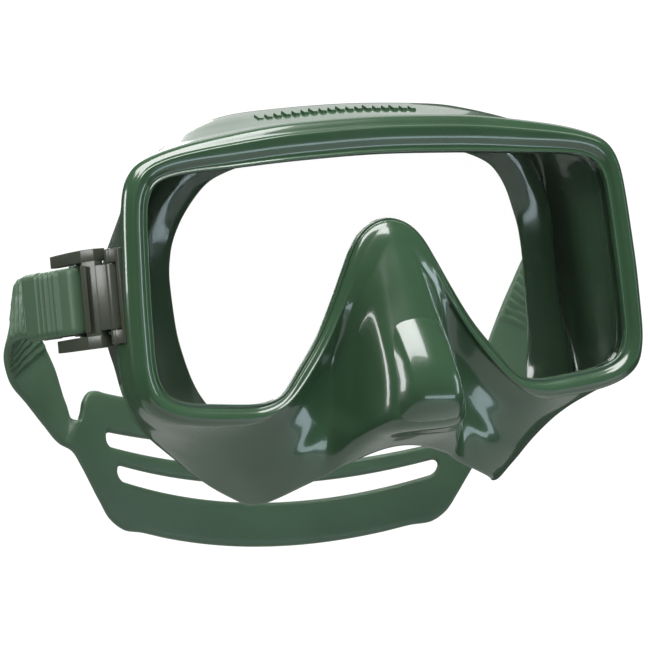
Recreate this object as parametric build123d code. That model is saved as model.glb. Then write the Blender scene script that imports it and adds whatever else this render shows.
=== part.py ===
from build123d import *
import math
import os

# A single-lens diving mask: a glass lens held in the rim of a soft silicone skirt
# with a nose pocket, two swivelling side buckles with a roller and a sprung pawl,
# and a head strap with a split back pad.
#
# Frame: millimetres, +Z up, the wearer's face towards +Y and the lens towards -Y,
# +X to the wearer's left side. The origin is the middle of the plane in which the
# skirt meets the temples, level with the buckles.

# ---------------------------------------------------------------- driving sizes

RIM_FRONT = -45.0          # foremost plane of the rim, on Y
LIP_FRONT = RIM_FRONT + 1.5
LENS_THICK = 4.0
LENS_FRONT = -42.0
LENS_BITE = 2.5            # how far the lens edge sits inside the silicone
SEAT_GAP = 0.05            # between glass and seat
RIM_SHOULDER = -41.6       # where the rim's sloped outer face ends
RIM_BACK = -36.0           # back of the straight rim wall
WALL = 2.0                 # silicone wall
NOSE_WALL = 1.5            # thinner round the nose pocket
EDGE_WALL = 1.1            # feathered sealing edge

HINGE = (85.0, -36.2)      # vertical axis on which a buckle swings, X and Y
HINGE_PIN_R = 1.0
HINGE_RUN = 0.05           # radial running clearance
KNUCKLE_R = 2.2
KNUCKLE_HALF = 9.1
KNUCKLE_ROOM = 0.25        # radial gap between knuckle and silicone
LUG_GAP = 0.3
LUG_TOP = 13.2

ARM_INNER = 10.4           # half the gap between a buckle's arms
ARM_OUTER = 13.8
ARM_END = -4.5             # rear end of the arms, on Y
WEB_INNER = 88.4           # plate between the arms, its rear end, faces on X
WEB_OUTER = 91.0
WEB_FRONT = -33.0
WEB_BACK = -27.5
NECK = (87.0, 89.0)        # where the plate narrows to the knuckle, faces on X

ROLLER = (88.4, -20.5)
ROLLER_R = 2.4
ROLLER_HALF = 9.9
ROLLER_PIN_R = 1.0
ROLLER_RUN = 0.06

PAWL = (86.2, -30.4)
PAWL_PIN_R = 0.8
PAWL_RUN = 0.06
PAWL_BARREL_R = 1.5
PAWL_HALF = 9.6
SPRING_Z = 5.8             # the pawl's barrel stops here and the spring begins
SPRING_R = 1.35

STRAP_HALF = 9.4           # half the strap's width at the buckle
STRAP_THICK = 1.6
WRAP_GAP = 0.35            # between roller and strap
STRAP_SPLIT = 5.0          # where the buckle's own length of strap ends, on Y
BAND_START = 6.5
BAND_THICK = 2.2
TILE_FRONT = -5.0
TILE_BACK = 3.5
RIB_PITCH = 2.9
RIB_HEIGHT = 0.8

PAD_THICK = 2.2
PAD_MIDDLE_Y = 41.5
PAD_END = (71.0, 29.5)
PAD_TILT = 4.0             # degrees, the pad hangs lower on the +X side
PAD_PIVOT_Z = -50.0


# ---------------------------------------------------------------- skirt
#
# Stations run round half the mask, from the middle of the forehead down the side,
# along the cheek and up the nose notch. Each has the lens opening (x, z), the rim's
# outer edge (x, z), three points down the outer wall, the outer sealing edge, the
# root of the inner sealing lip and that lip's free edge, all (x, y, z).

STATIONS = [
    ((0, 35.2), (0, 46.2), (0, -34.5, 46.6), (0, -31.5, 48), (0, -26.5, 50.3),
     (0, -22.5, 52), (0, -27, 47), (0, -31, 37.8)),
    ((26, 34.5), (27, 45.4), (27, -34.5, 45.8), (27.5, -31, 47.2), (29, -25, 49.8),
     (30, -21.5, 51), (29.5, -26, 46), (27, -29.5, 37)),
    ((50, 33.1), (53, 42.4), (53, -34.5, 43), (52, -30.5, 44.6), (50, -26, 46.5),
     (47.5, -22, 47.7), (47.5, -26.5, 43.5), (46, -25, 32.5)),
    ((65, 32.2), (70, 39), (67, -34, 39.6), (64, -29, 40.4), (60.5, -24, 41.2),
     (57.5, -20, 41.5), (56.5, -25.5, 37.5), (53.5, -22, 25)),
    ((73, 30), (79, 35), (75.5, -34, 35), (71.5, -27.5, 34.3), (67.5, -20.5, 33),
     (64.5, -15, 31.5), (64, -22, 28.5), (57, -19.5, 18.5)),
    ((76.3, 23.5), (82.7, 28), (79, -34, 27.5), (74.5, -25, 26), (72, -16.5, 23.5),
     (70, -9, 20.5), (70.5, -18.5, 20), (59, -18.5, 13)),
    ((77.2, 10), (84.4, 10), (82.5, -33.5, 10), (79, -24, 9.8), (75.5, -12, 8.5),
     (72, -1.5, 7.5), (73.5, -14.5, 7.5), (60, -17.7, 4)),
    ((77.9, -7.5), (85.2, -7.5), (84.4, -33, -7.5), (81, -24, -7.5), (76.5, -12, -8.5),
     (71.8, 0, -9), (74.5, -13, -8.5), (59.6, -18, -9.5)),
    ((78.1, -20.5), (85.2, -21), (84.3, -33, -21.5), (81, -25, -22.5), (76.5, -15, -24),
     (71, -5, -23), (74, -16, -20.5), (58.3, -19.5, -20)),
    ((76, -28), (83, -31.5), (82, -33.5, -32), (79, -27, -34), (74.5, -19.5, -36.5),
     (68, -13, -38), (71, -20, -32), (55.8, -21, -29)),
    ((70, -31.3), (75, -36.7), (74.3, -34.5, -37.5), (69.2, -25.5, -41), (64, -20, -45.5),
     (58.8, -17.6, -50), (61.3, -23.2, -42), (52, -25, -36.5)),
    ((60, -32.5), (62, -39), (61.3, -35, -41), (57.3, -28.3, -46), (51.8, -23.2, -53),
     (48.8, -19.6, -58), (51, -25.5, -49), (46.5, -27.5, -42)),
    ((47, -33.5), (49, -39.6), (48.5, -37.5, -42), (46.3, -33.5, -48), (43.3, -29, -56),
     (40.7, -23, -62.3), (41.5, -28.5, -52), (39, -28, -45.5)),
    ((40, -32), (39.8, -36), (39.3, -40, -38.5), (37, -36.5, -46), (36.5, -33, -54),
     (36.5, -28, -61), (36, -31, -51), (34, -28, -45.5)),
    ((33.5, -25), (31.5, -28), (29.5, -40.5, -32), (28, -38, -40), (28.5, -36.5, -50),
     (29, -31.5, -58), (28.5, -32, -49), (28, -28, -44)),
    ((25.4, -14.8), (23, -17.2), (21, -39.5, -22), (20.5, -37.5, -34), (21.8, -37.5, -45),
     (22, -34.5, -55), (22, -34, -47), (22.5, -28.5, -42)),
    ((20, -5.5), (17.3, -7.4), (15.8, -42.5, -16), (17, -43.5, -38), (18.8, -43, -46.8),
     (17.5, -36.8, -53), (17, -35, -46), (18.5, -29, -41)),
    ((15, 4), (12.2, 2.8), (10.6, -49, -10), (10.8, -59, -39.6), (14.5, -45.5, -47.5),
     (12.8, -38.4, -51.5), (12.5, -35.5, -45.5), (14, -30, -40)),
    ((11, 11), (8.5, 8.8), (8.3, -51, -8), (8.8, -61.2, -41.8), (10.5, -45.5, -47.6),
     (8.5, -39.4, -50.2), (8.5, -36, -45), (9.5, -31, -39.5)),
    ((6.5, 15), (5, 12.5), (5, -52.3, -6), (5.3, -61.8, -42.4), (6, -45.5, -47.4),
     (4.5, -39.9, -49.4), (4.5, -36.3, -44.6), (5, -31.5, -39)),
    ((0, 16.8), (0, 13.8), (0, -52.6, -5), (0, -62, -42.6), (0, -45.5, -47.2),
     (0, -40, -49.1), (0, -36.5, -44.4), (0, -31.7, -38.8)),
]
NOSE_FROM = 13             # stations from here on have the narrow rim of the notch


def outward(index):
    """Unit vector in XZ that points from the lens opening into the silicone."""
    here = STATIONS[index][0]
    if index in (0, len(STATIONS) - 1):
        return (0.0, 1.0 if index == 0 else -1.0)
    before = STATIONS[index - 1][0]
    after = STATIONS[index + 1][0]
    along = (after[0] - before[0], after[1] - before[1])
    size = math.hypot(*along)
    return (-along[1] / size, along[0] / size)


def shifted(index, distance, y):
    """A point at depth y, the given distance outward from the lens opening."""
    (x, z), (nx, nz) = STATIONS[index][0], outward(index)
    return Vector(x + nx * distance, y, z + nz * distance)


def outer_points(index):
    """The outer surface of one station, from the rim to the sealing edge."""
    lip, rim, upper, middle, lower, edge = STATIONS[index][:6]
    crest = Vector((lip[0] + rim[0]) / 2, RIM_FRONT, (lip[1] + rim[1]) / 2)
    if index < NOSE_FROM:
        shoulder = Vector(rim[0], RIM_SHOULDER, rim[1])
        back = Vector(*upper) * 0.35 + Vector(rim[0], RIM_BACK, rim[1]) * 0.65
    else:
        shoulder = Vector(rim[0], RIM_FRONT + 1.2, rim[1])
        back = shoulder * 0.6 + Vector(*upper) * 0.4
    return [crest, shoulder, back, Vector(*upper), Vector(*middle), Vector(*lower),
            Vector(*edge)]


def inner_wall(index, row, thick=WALL):
    """An outer wall point moved one wall thickness into the mask."""
    last = len(STATIONS) - 1
    grid = [outer_points(i) for i in (max(index - 1, 0), index, min(index + 1, last))]
    if index == 0:
        grid[0] = [Vector(-p.X, p.Y, p.Z) for p in grid[2]]
    if index == last:
        grid[2] = [Vector(-p.X, p.Y, p.Z) for p in grid[0]]
    around = grid[2][row] - grid[0][row]
    down = grid[1][min(row + 1, len(grid[1]) - 1)] - grid[1][row - 1]
    inward = down.cross(around).normalized()
    return grid[1][row] + inward * thick


def section(index):
    """The closed outline of the silicone at one station."""
    root, hem = (Vector(*p) for p in STATIONS[index][6:8])
    seat_front = LENS_FRONT - SEAT_GAP
    seat_back = LENS_FRONT + LENS_THICK + SEAT_GAP
    seat_depth = LENS_BITE + SEAT_GAP
    points = [shifted(index, 0, LIP_FRONT)]
    points += outer_points(index)
    points += [
        inner_wall(index, 6, EDGE_WALL),
        root,
        hem,
        hem + Vector(0, -EDGE_WALL, 0),
        root + Vector(0, -WALL, 0) + (hem - root).normalized() * 0.8,
        inner_wall(index, 4, NOSE_WALL if index >= NOSE_FROM else WALL),
        inner_wall(index, 3, NOSE_WALL if index >= NOSE_FROM else WALL),
        shifted(index, seat_depth + 1.2, seat_back + 1.2),
        shifted(index, 0.3, seat_back + 1.2),
        shifted(index, 0, seat_back),
        shifted(index, seat_depth, seat_back),
        shifted(index, seat_depth, seat_front),
        shifted(index, 0, seat_front),
    ]
    if index in (0, len(STATIONS) - 1):
        points = [Vector(0, p.Y, p.Z) for p in points]
    return points


def skin_triangles(rings):
    """Triangles of the skin that runs from each ring to the next."""
    triangles = []
    for here, there in zip(rings, rings[1:]):
        for i in range(len(here)):
            j = (i + 1) % len(here)
            triangles.append((here[i], here[j], there[j]))
            triangles.append((here[i], there[j], there[i]))
    return triangles


def make_skirt(cutters):
    """The skin over half the stations and its mirror image, with the anchors let in."""
    triangles = skin_triangles([section(i) for i in range(len(STATIONS))])
    triangles += [[Vector(-p.X, p.Y, p.Z) for p in reversed(t)] for t in triangles]
    faces = [Face(Wire.make_polygon(t, close=True)) for t in triangles]
    return Solid(Shell(faces)).cut(*cutters)


def make_lens():
    """Flat glass, its outline the lens opening enlarged by the bite."""
    half = [shifted(i, LENS_BITE, LENS_FRONT) for i in range(len(STATIONS))]
    half[0] = Vector(0, half[0].Y, half[0].Z)
    half[-1] = Vector(0, half[-1].Y, half[-1].Z)
    other = [Vector(-p.X, p.Y, p.Z) for p in reversed(half[1:-1])]
    face = Face(Wire.make_polygon(half + other, close=True))
    return extrude(face, amount=LENS_THICK, dir=(0, 1, 0))


# ---------------------------------------------------------------- buckle, +X side

def post(centre, radius, low, high):
    """A vertical cylinder."""
    return Pos(centre[0], centre[1], (low + high) / 2) * Cylinder(radius, high - low)


def slab(points, low, high):
    """A vertical prism over a plan outline."""
    plan = make_face(Polyline(*points, close=True))
    return Pos(0, 0, low) * extrude(plan, amount=high - low)


def make_anchor():
    """Hard insert in the rim's side: a tongue, a flange and two hinge lugs."""
    tongue = slab([(82.2, -40.8), (84.4, -40.8), (84.4, -38.7), (82.2, -38.7)], -9, 9)
    flange = slab([(83.4, -40.8), (85.4, -40.8), (85.4, -38.7), (83.4, -38.7)],
                  -LUG_TOP, LUG_TOP)
    body = tongue + flange
    for side in (-1, 1):
        inner = side * (KNUCKLE_HALF + LUG_GAP)
        outer = side * LUG_TOP
        low, high = min(inner, outer), max(inner, outer)
        bridge = slab([(83.4, -39.6), (85.4, -39.6), (HINGE[0] + 2.0, HINGE[1] - 0.9),
                       (HINGE[0] - 2.0, HINGE[1] - 0.9)], low, high)
        body += bridge + post(HINGE, KNUCKLE_R, low, high)
    return body - post(HINGE, HINGE_PIN_R, -LUG_TOP - 1, LUG_TOP + 1)


def make_knuckle_room():
    """Hollow in the rim's side in which the buckle's knuckle and pin turn."""
    reach = KNUCKLE_HALF + LUG_GAP
    pin_reach = LUG_TOP + 0.4
    return (post(HINGE, KNUCKLE_R + KNUCKLE_ROOM, -reach, reach)
            + post(HINGE, HINGE_PIN_R + KNUCKLE_ROOM, -pin_reach, pin_reach))


def make_hinge_pin():
    """Vertical pin, pressed into the anchor's lugs."""
    return post(HINGE, HINGE_PIN_R, -LUG_TOP - 0.2, LUG_TOP + 0.2)


def make_frame():
    """The buckle: hinge knuckle, plate, and two arms with three flat facets each."""
    body = post(HINGE, KNUCKLE_R, -KNUCKLE_HALF, KNUCKLE_HALF)
    body += slab([(HINGE[0] - 0.2, HINGE[1]), (HINGE[0] + KNUCKLE_R, HINGE[1]),
                  (NECK[1], WEB_FRONT), (NECK[0], WEB_FRONT)],
                 -KNUCKLE_HALF, KNUCKLE_HALF)
    body += slab([(NECK[0], WEB_FRONT), (NECK[1], WEB_FRONT), (WEB_OUTER, -28.5),
                  (WEB_OUTER, WEB_BACK), (WEB_INNER, WEB_BACK), (WEB_INNER, -30.8)],
                 -ARM_OUTER, ARM_OUTER)
    arm = [(85.6, WEB_FRONT), (NECK[1], WEB_FRONT), (WEB_OUTER, -28.5), (91.2, -22.0),
           (90.6, -13.5), (89.2, ARM_END), (87.0, ARM_END), (84.6, -27.0), (84.9, -31.0)]
    for side in (-1, 1):
        low, high = sorted((side * ARM_INNER, side * ARM_OUTER))
        body += slab(arm, low, high)
    body -= post(HINGE, HINGE_PIN_R + HINGE_RUN, -ARM_OUTER - 1, ARM_OUTER + 1)
    body -= post(ROLLER, ROLLER_PIN_R, -ARM_OUTER - 1, ARM_OUTER + 1)
    body -= post(PAWL, PAWL_PIN_R, -ARM_OUTER - 1, ARM_OUTER + 1)
    return body


def make_roller():
    """Tube that turns on its pin as the strap is drawn round it."""
    return (post(ROLLER, ROLLER_R, -ROLLER_HALF, ROLLER_HALF)
            - post(ROLLER, ROLLER_PIN_R + ROLLER_RUN, -ARM_OUTER, ARM_OUTER))


def make_pawl():
    """Locking pawl: barrel, toothed edge towards the strap, and a finger tab."""
    body = post(PAWL, PAWL_BARREL_R, -PAWL_HALF, SPRING_Z)
    body += slab([(85.5, -30.4), (87.2, -30.4), (86.5, -25.4), (85.8, -25.1)],
                 -PAWL_HALF, PAWL_HALF - 1)
    body += slab([(84.9, -30.4), (86.2, -30.4), (85.9, -33.0), (85.0, -33.0)],
                 -5.0, 5.0)
    body -= post(PAWL, SPRING_R + 0.2, SPRING_Z, PAWL_HALF + 1)
    return body - post(PAWL, PAWL_PIN_R + PAWL_RUN, -ARM_OUTER, ARM_OUTER)


def make_spring():
    """Torsion spring of the pawl, as a plain sleeve round the pawl's pin."""
    return (post(PAWL, SPRING_R, SPRING_Z + 0.3, PAWL_HALF)
            - post(PAWL, PAWL_PIN_R + 0.02, SPRING_Z, PAWL_HALF + 1))


def make_strap_end():
    """Strap inside the buckle: in along the skirt, round the roller, back outside."""
    x, y = ROLLER
    inner = ROLLER_R + WRAP_GAP
    outer = inner + STRAP_THICK
    ring = (post(ROLLER, outer, -STRAP_HALF, STRAP_HALF)
            - post(ROLLER, inner, -STRAP_HALF, STRAP_HALF))
    front = Pos(x, y - 10, 0) * Box(30, 20, 40)
    body = ring & front
    body += slab([(x - outer, y), (x - inner, y), (90.6, STRAP_SPLIT), (88.2, STRAP_SPLIT)],
                 -STRAP_HALF, STRAP_HALF)
    body += slab([(x + inner, y), (x + outer, y), (93.6, TILE_FRONT), (92.0, TILE_FRONT)],
                 -STRAP_HALF, STRAP_HALF)
    body += slab([(92.0, TILE_FRONT), (94.2, TILE_FRONT), (94.2, TILE_BACK),
                  (92.0, TILE_BACK)], -STRAP_HALF - 0.2, STRAP_HALF + 0.2)
    rib_y = TILE_FRONT - 1.6
    while rib_y > y + 1:
        rib_x = x + outer + (rib_y - y) / (TILE_FRONT - y) * 0.85
        body += Pos(rib_x, rib_y, 0) * Box(2 * RIB_HEIGHT, 1.2, 2 * STRAP_HALF)
        rib_y -= RIB_PITCH
    return body


# ---------------------------------------------------------------- head strap

# Edges of the band on the -X side: inner or upper edge, then outer or lower edge.
# It leaves the buckle upright, turns down and inwards, twists so that its lower
# edge flares out, and runs into the back pad. The last number is how much lower
# the same place lies on the +X side.
BAND = [
    ((-88.4, BAND_START, 9.6), (-90.2, BAND_START, -9.0), 0),
    ((-88.6, 13, 9.9), (-92, 12, -8.3), 0),
    ((-87, 21, 8.5), (-93.8, 17.5, -9.5), 1),
    ((-82.5, 26, 0), (-94, 21, -13), 2.5),
    ((-77.5, 30, -10), (-92.1, 23.5, -20), 4.5),
    ((-74, 32, -17), (-86.5, 25, -27), 6.5),
    ((-71.2, 32.5, -27.3), (-80.5, 27.5, -33.8), 8),
    ((-68.8, 31.5, -33.4), (-74.8, 29, -39.3), 9.2),
    ((-65.0, 32.5, -36), (-67.5, 31.7, -46), 9.2),
]


def make_band(side):
    """One twisted arm of the strap, side -1 or +1 on X."""
    rows = []
    for upper, lower, droop in BAND:
        drop = droop if side > 0 else 0
        rows.append([Vector(-side * p[0], p[1], p[2] - drop) for p in (upper, lower)])
    sections = []
    for i, (upper, lower) in enumerate(rows):
        before = rows[max(i - 1, 0)]
        after = rows[min(i + 1, len(rows) - 1)]
        along = (after[0] + after[1]) - (before[0] + before[1])
        across = lower - upper
        normal = along.cross(across).normalized() * (BAND_THICK / 2)
        corners = [upper + normal, lower + normal, lower - normal, upper - normal]
        sections.append(Wire.make_polygon(corners, close=True))
    return Solid.make_loft(sections, ruled=True)


def pad_slot(end_x, end_top, end_low, middle_top, middle_low):
    """A long curved slot, in the XZ plane of the pad."""
    edges = [
        ThreePointArc((-end_x, end_top), (0, middle_top), (end_x, end_top)),
        Line((end_x, end_top), (end_x - 2, end_low)),
        ThreePointArc((end_x - 2, end_low), (0, middle_low), (-end_x + 2, end_low)),
        Line((-end_x + 2, end_low), (-end_x, end_top)),
    ]
    return make_face(edges)


def make_pad():
    """The split back pad: a plate bent round the head, with two long slots."""
    outline = make_face([
        ThreePointArc((-65, -28.9), (0, -34), (65, -28.9)),
        Line((65, -28.9), (71, -46)),
        Line((71, -46), (54, -70.5)),
        ThreePointArc((54, -70.5), (0, -76.7), (-54, -70.5)),
        Line((-54, -70.5), (-71, -46)),
        Line((-71, -46), (-65, -28.9)),
    ])
    outline -= pad_slot(60, -41, -45.5, -46, -52)
    outline -= pad_slot(56, -50.8, -55.8, -57.6, -63.2)
    outline = Plane.XZ.offset(-60) * outline
    prism = extrude(outline, amount=60)
    half = PAD_THICK / 2
    x, y = PAD_END
    plate_plan = make_face([
        ThreePointArc((-x - 1, y + half), (0, PAD_MIDDLE_Y + half), (x + 1, y + half)),
        Line((x + 1, y + half), (x + 1, y - half)),
        ThreePointArc((x + 1, y - half), (0, PAD_MIDDLE_Y - half), (-x - 1, y - half)),
        Line((-x - 1, y - half), (-x - 1, y + half)),
    ])
    plate = Pos(0, 0, -90) * extrude(plate_plan, amount=80)
    pad = plate & prism
    turn = Pos(0, 0, PAD_PIVOT_Z) * Rot(0, PAD_TILT, 0) * Pos(0, 0, -PAD_PIVOT_Z)
    return turn * pad


def make_strap_band():
    """Both twisted arms and the pad, one moulding."""
    return make_pad() + make_band(-1) + make_band(1)


# ---------------------------------------------------------------- write the parts

def save(shape, name):
    shape.label = name
    export_step(shape, f"parts/{name}.step")


def main():
    os.makedirs("parts", exist_ok=True)
    right = {
        "buckle_anchor": make_anchor(),
        "hinge_pin": make_hinge_pin(),
        "buckle_frame": make_frame(),
        "strap_roller": make_roller(),
        "roller_pin": post(ROLLER, ROLLER_PIN_R, -ARM_OUTER + 0.4, ARM_OUTER - 0.4),
        "release_pawl": make_pawl(),
        "pawl_pin": post(PAWL, PAWL_PIN_R, -ARM_OUTER + 0.4, ARM_OUTER - 0.4),
        "pawl_spring": make_spring(),
        "strap_end": make_strap_end(),
    }
    for name, shape in right.items():
        save(shape, f"{name}_right")
        save(mirror(shape, about=Plane.YZ), f"{name}_left")
    cutters = [right["buckle_anchor"], make_knuckle_room()]
    cutters += [mirror(cutter, about=Plane.YZ) for cutter in cutters]
    save(make_skirt(cutters), "skirt")
    save(make_lens(), "lens")
    save(make_strap_band(), "strap_band")


main()
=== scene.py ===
import bmesh
import bpy
import math
import numpy as np
from mathutils import Matrix, Vector


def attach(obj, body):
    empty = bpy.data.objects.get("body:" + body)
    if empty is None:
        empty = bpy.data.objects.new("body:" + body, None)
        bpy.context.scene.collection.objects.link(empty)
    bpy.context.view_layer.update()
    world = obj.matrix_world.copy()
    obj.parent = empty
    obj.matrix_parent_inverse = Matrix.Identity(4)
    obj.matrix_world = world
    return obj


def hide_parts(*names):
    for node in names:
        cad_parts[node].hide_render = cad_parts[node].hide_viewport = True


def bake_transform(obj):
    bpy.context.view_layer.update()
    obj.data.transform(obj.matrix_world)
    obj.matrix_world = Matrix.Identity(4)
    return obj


# A single-lens diving mask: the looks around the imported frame. Sizes are in millimetres
# until a mesh is made, then in metres. +X is the wearer's left, the lens faces -Y.

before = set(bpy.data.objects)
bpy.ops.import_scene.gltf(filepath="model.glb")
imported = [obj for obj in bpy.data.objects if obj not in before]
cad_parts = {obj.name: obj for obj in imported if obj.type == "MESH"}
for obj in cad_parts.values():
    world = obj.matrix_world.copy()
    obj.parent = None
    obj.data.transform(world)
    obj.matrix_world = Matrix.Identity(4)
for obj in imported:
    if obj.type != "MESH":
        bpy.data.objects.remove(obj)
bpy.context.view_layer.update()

MM = 0.001
WHITE = (1, 1, 1)

# ---------------------------------------------------------------- driving sizes

LENS_FRONT = -42.0
LENS_BACK = -38.0
LENS_BITE = 2.5            # how far the glass's seat reaches into the silicone
LENS_ROOM = 0.15           # between the edge of the glass and the bottom of its seat
LENS_BEVEL = 0.5
SEAT_GAP = 0.1
NOTCH_BITE = 1.3           # how much further the seat reaches at the nose
NOTCH_LIP = 3.0            # how far the lip behind the glass draws back at the nose
POCKET_ROOM = 1.3          # silicone between the seat and the inside of the skirt
WALL = 2.0
NOSE_WALL = 1.5
EDGE_WALL = 1.1
COLUMN_STEP = 1.3          # spacing of the skirt's columns along the lens opening

# Stations of half the skirt: lens opening (x, z), rim edge (x, z), then upper, middle and
# lower wall, sealing edge, root and free edge of the inner lip. They are those of the CAD
# cage, but for the middle wall beside the nose's tip, which is up to 1.4 mm wider here.
STATIONS = [
    ((0, 35.2), (0, 46.2), (0, -34.5, 46.6), (0, -31.5, 48), (0, -26.5, 50.3),
     (0, -22.5, 52), (0, -27, 47), (0, -31, 37.8)),
    ((26, 34.5), (27, 45.4), (27, -34.5, 45.8), (27.5, -31, 47.2), (29, -25, 49.8),
     (30, -21.5, 51), (29.5, -26, 46), (27, -29.5, 37)),
    ((50, 33.1), (53, 42.4), (53, -34.5, 43), (52, -30.5, 44.6), (50, -26, 46.5),
     (47.5, -22, 47.7), (47.5, -26.5, 43.5), (46, -25, 32.5)),
    ((65, 32.2), (70, 39), (67, -34, 39.6), (64, -29, 40.4), (60.5, -24, 41.2),
     (57.5, -20, 41.5), (56.5, -25.5, 37.5), (53.5, -22, 25)),
    ((73, 30), (79, 35), (75.5, -34, 35), (71.5, -27.5, 34.3), (67.5, -20.5, 33),
     (64.5, -15, 31.5), (64, -22, 28.5), (57, -19.5, 18.5)),
    ((76.3, 23.5), (82.7, 28), (79, -34, 27.5), (74.5, -25, 26), (72, -16.5, 23.5),
     (70, -9, 20.5), (70.5, -18.5, 20), (59, -18.5, 13)),
    ((77.2, 10), (84.4, 10), (82.5, -33.5, 10), (79, -24, 9.8), (75.5, -12, 8.5),
     (72, -1.5, 7.5), (73.5, -14.5, 7.5), (60, -17.7, 4)),
    ((77.9, -7.5), (85.2, -7.5), (84.4, -33, -7.5), (81, -24, -7.5), (76.5, -12, -8.5),
     (71.8, 0, -9), (74.5, -13, -8.5), (59.6, -18, -9.5)),
    ((78.1, -20.5), (85.2, -21), (84.3, -33, -21.5), (81, -25, -22.5), (76.5, -15, -24),
     (71, -5, -23), (74, -16, -20.5), (58.3, -19.5, -20)),
    ((76, -28), (83, -31.5), (82, -33.5, -32), (79, -27, -34), (74.5, -19.5, -36.5),
     (68, -13, -38), (71, -20, -32), (55.8, -21, -29)),
    ((70, -31.3), (75, -36.7), (74.3, -34.5, -37.5), (69.2, -25.5, -41), (64, -20, -45.5),
     (58.8, -17.6, -50), (61.3, -23.2, -42), (52, -25, -36.5)),
    ((60, -32.5), (62, -39), (61.3, -35, -41), (57.3, -28.3, -46), (51.8, -23.2, -53),
     (48.8, -19.6, -58), (51, -25.5, -49), (46.5, -27.5, -42)),
    ((47, -33.5), (49, -39.6), (48.5, -37.5, -42), (46.3, -33.5, -48), (43.3, -29, -56),
     (40.7, -23, -62.3), (41.5, -28.5, -52), (39, -28, -45.5)),
    ((40, -32), (39.8, -36), (39.3, -40, -38.5), (37, -36.5, -46), (36.5, -33, -54),
     (36.5, -28, -61), (36, -31, -51), (34, -28, -45.5)),
    ((33.5, -25), (31.5, -28), (29.5, -40.5, -32), (28, -38, -40), (28.5, -36.5, -50),
     (29, -31.5, -58), (28.5, -32, -49), (28, -28, -44)),
    ((25.4, -14.8), (23, -17.2), (21, -39.5, -22), (20.5, -37.5, -34), (21.8, -37.5, -45),
     (22, -34.5, -55), (22, -34, -47), (22.5, -28.5, -42)),
    ((20, -5.5), (17.3, -7.4), (15.8, -42.5, -16), (17, -43.5, -38), (18.8, -43, -46.8),
     (17.5, -36.8, -53), (17, -35, -46), (18.5, -29, -41)),
    ((15, 4), (12.2, 2.8), (10.6, -49, -10), (12.2, -59, -39.6), (14.5, -45.5, -47.5),
     (12.8, -38.4, -51.5), (12.5, -35.5, -45.5), (14, -30, -40)),
    ((11, 11), (8.5, 8.8), (8.3, -51, -8), (9.2, -61.2, -41.8), (10.5, -45.5, -47.6),
     (8.5, -39.4, -50.2), (8.5, -36, -45), (9.5, -31, -39.5)),
    ((6.5, 15), (5, 12.5), (5, -52.3, -6), (5.3, -61.8, -42.4), (6, -45.5, -47.4),
     (4.5, -39.9, -49.4), (4.5, -36.3, -44.6), (5, -31.5, -39)),
    ((0, 16.8), (0, 13.8), (0, -52.6, -5), (0, -62, -42.6), (0, -45.5, -47.2),
     (0, -40, -49.1), (0, -36.5, -44.4), (0, -31.7, -38.8)),
]
NOTCH_START = 12.0         # station where the wide rim starts to turn into the notch's
NOTCH_FULL = 14.0
APEX_START = 15.4          # from here the notch's rim starts to run into the nose
APEX_FULL = 17.2
NOSE_BRIDGE_Y = -43.9      # how the rim bends forward into the nose at the apex
NOSE_BRIDGE_FALL = 3.6

# Outlines across the rim's face. Each point is a fraction of the way from the lens opening
# to the rim edge, millimetres added to that, and the depth: the bead over the glass, the
# broad face with its ridge and groove, and the narrow face along the notch.
RIM_BEAD = [(0, 0.05, -43.75), (0, 0.7, -43.8), (0, 0.95, -43.3)]
RIM_WIDE = [
    (0.16, 0.6, -43.6), (0.3, 0.2, -44.3), (0.44, 0, -44.7), (0.55, 0, -44.9),
    (0.61, 0, -45.05), (0.64, 0.3, -45.0), (0.64, 0.7, -44.35), (0.72, 0.6, -44.05),
    (0.84, 0.2, -43.75), (0.95, 0, -43.1), (1.0, 0, -42.2), (1.0, 0, -41.2),
    (1.0, 0, -40.9), (1.0, -0.7, -40.7), (1.0, -0.7, -40.3),
]
RIM_THIN = [
    (0.2, 0.6, -43.7), (0.35, 0.3, -44.2), (0.6, 0.2, -44.5), (0.8, 0, -44.7),
    (1, -0.5, -45.0), (1, -0.1, -45.1), (1, 0.2, -44.7), (1, 0.2, -44.4),
    (1, 0.2, -44.2), (1, 0.2, -44.1), (1, 0.15, -44.0), (1, 0.15, -43.9),
    (1, 0.1, -43.85), (1, 0.1, -43.8), (1, 0, -43.75),
]

HINGE = (85.0, -36.2)
KNUCKLE_R = 2.2
KNUCKLE_HALF = 9.1
LUG_INNER = 9.4
LUG_TOP = 13.2
ARM_INNER = 10.4
ARM_OUTER = 13.8
PLATE_OVERLAP = 0.4        # how far the plate runs into each arm
FACET_INSET = 1.0          # how far the raised facet stops short of each arm
BUCKLE_BEVEL = 0.3
ANCHOR_BEVEL = 0.25
BEVEL_FROM = 20            # degrees; edges sharper than this are rounded over
SHARP_FROM = 32            # degrees; edges sharper than this stay creased in the shading
ROLLER_AXIS = (88.4, -20.5)
ROLLER_R = 2.4
WRAP_GAP = 0.35
TAIL_SHEET = 1.6
STRAP_HALF = 9.4
TAIL_STEPS = 16            # mesh columns between two knots of the tail
TAIL_ROWS = 15
TAIL_LEAD = [(89.4, 5.3), (87.4, -7)]                     # from the band to the roller
TAIL_RETURN = [(92.5, -13), (92.8, -5), (93.2, 4.4)]      # from the roller to the free end
WRAP_KNOTS = 8             # knots of the half turn round the roller
TAIL_RIBS = (-17.0, 2.8, 4)                               # start, pitch and number
RIB_RISE = 1.0
TILE_START = -5.2
TILE_END = 3.5
TILE_EDGE = 0.35
TILE_RISE = 1.0
TILE_WIDER = 0.2

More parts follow.
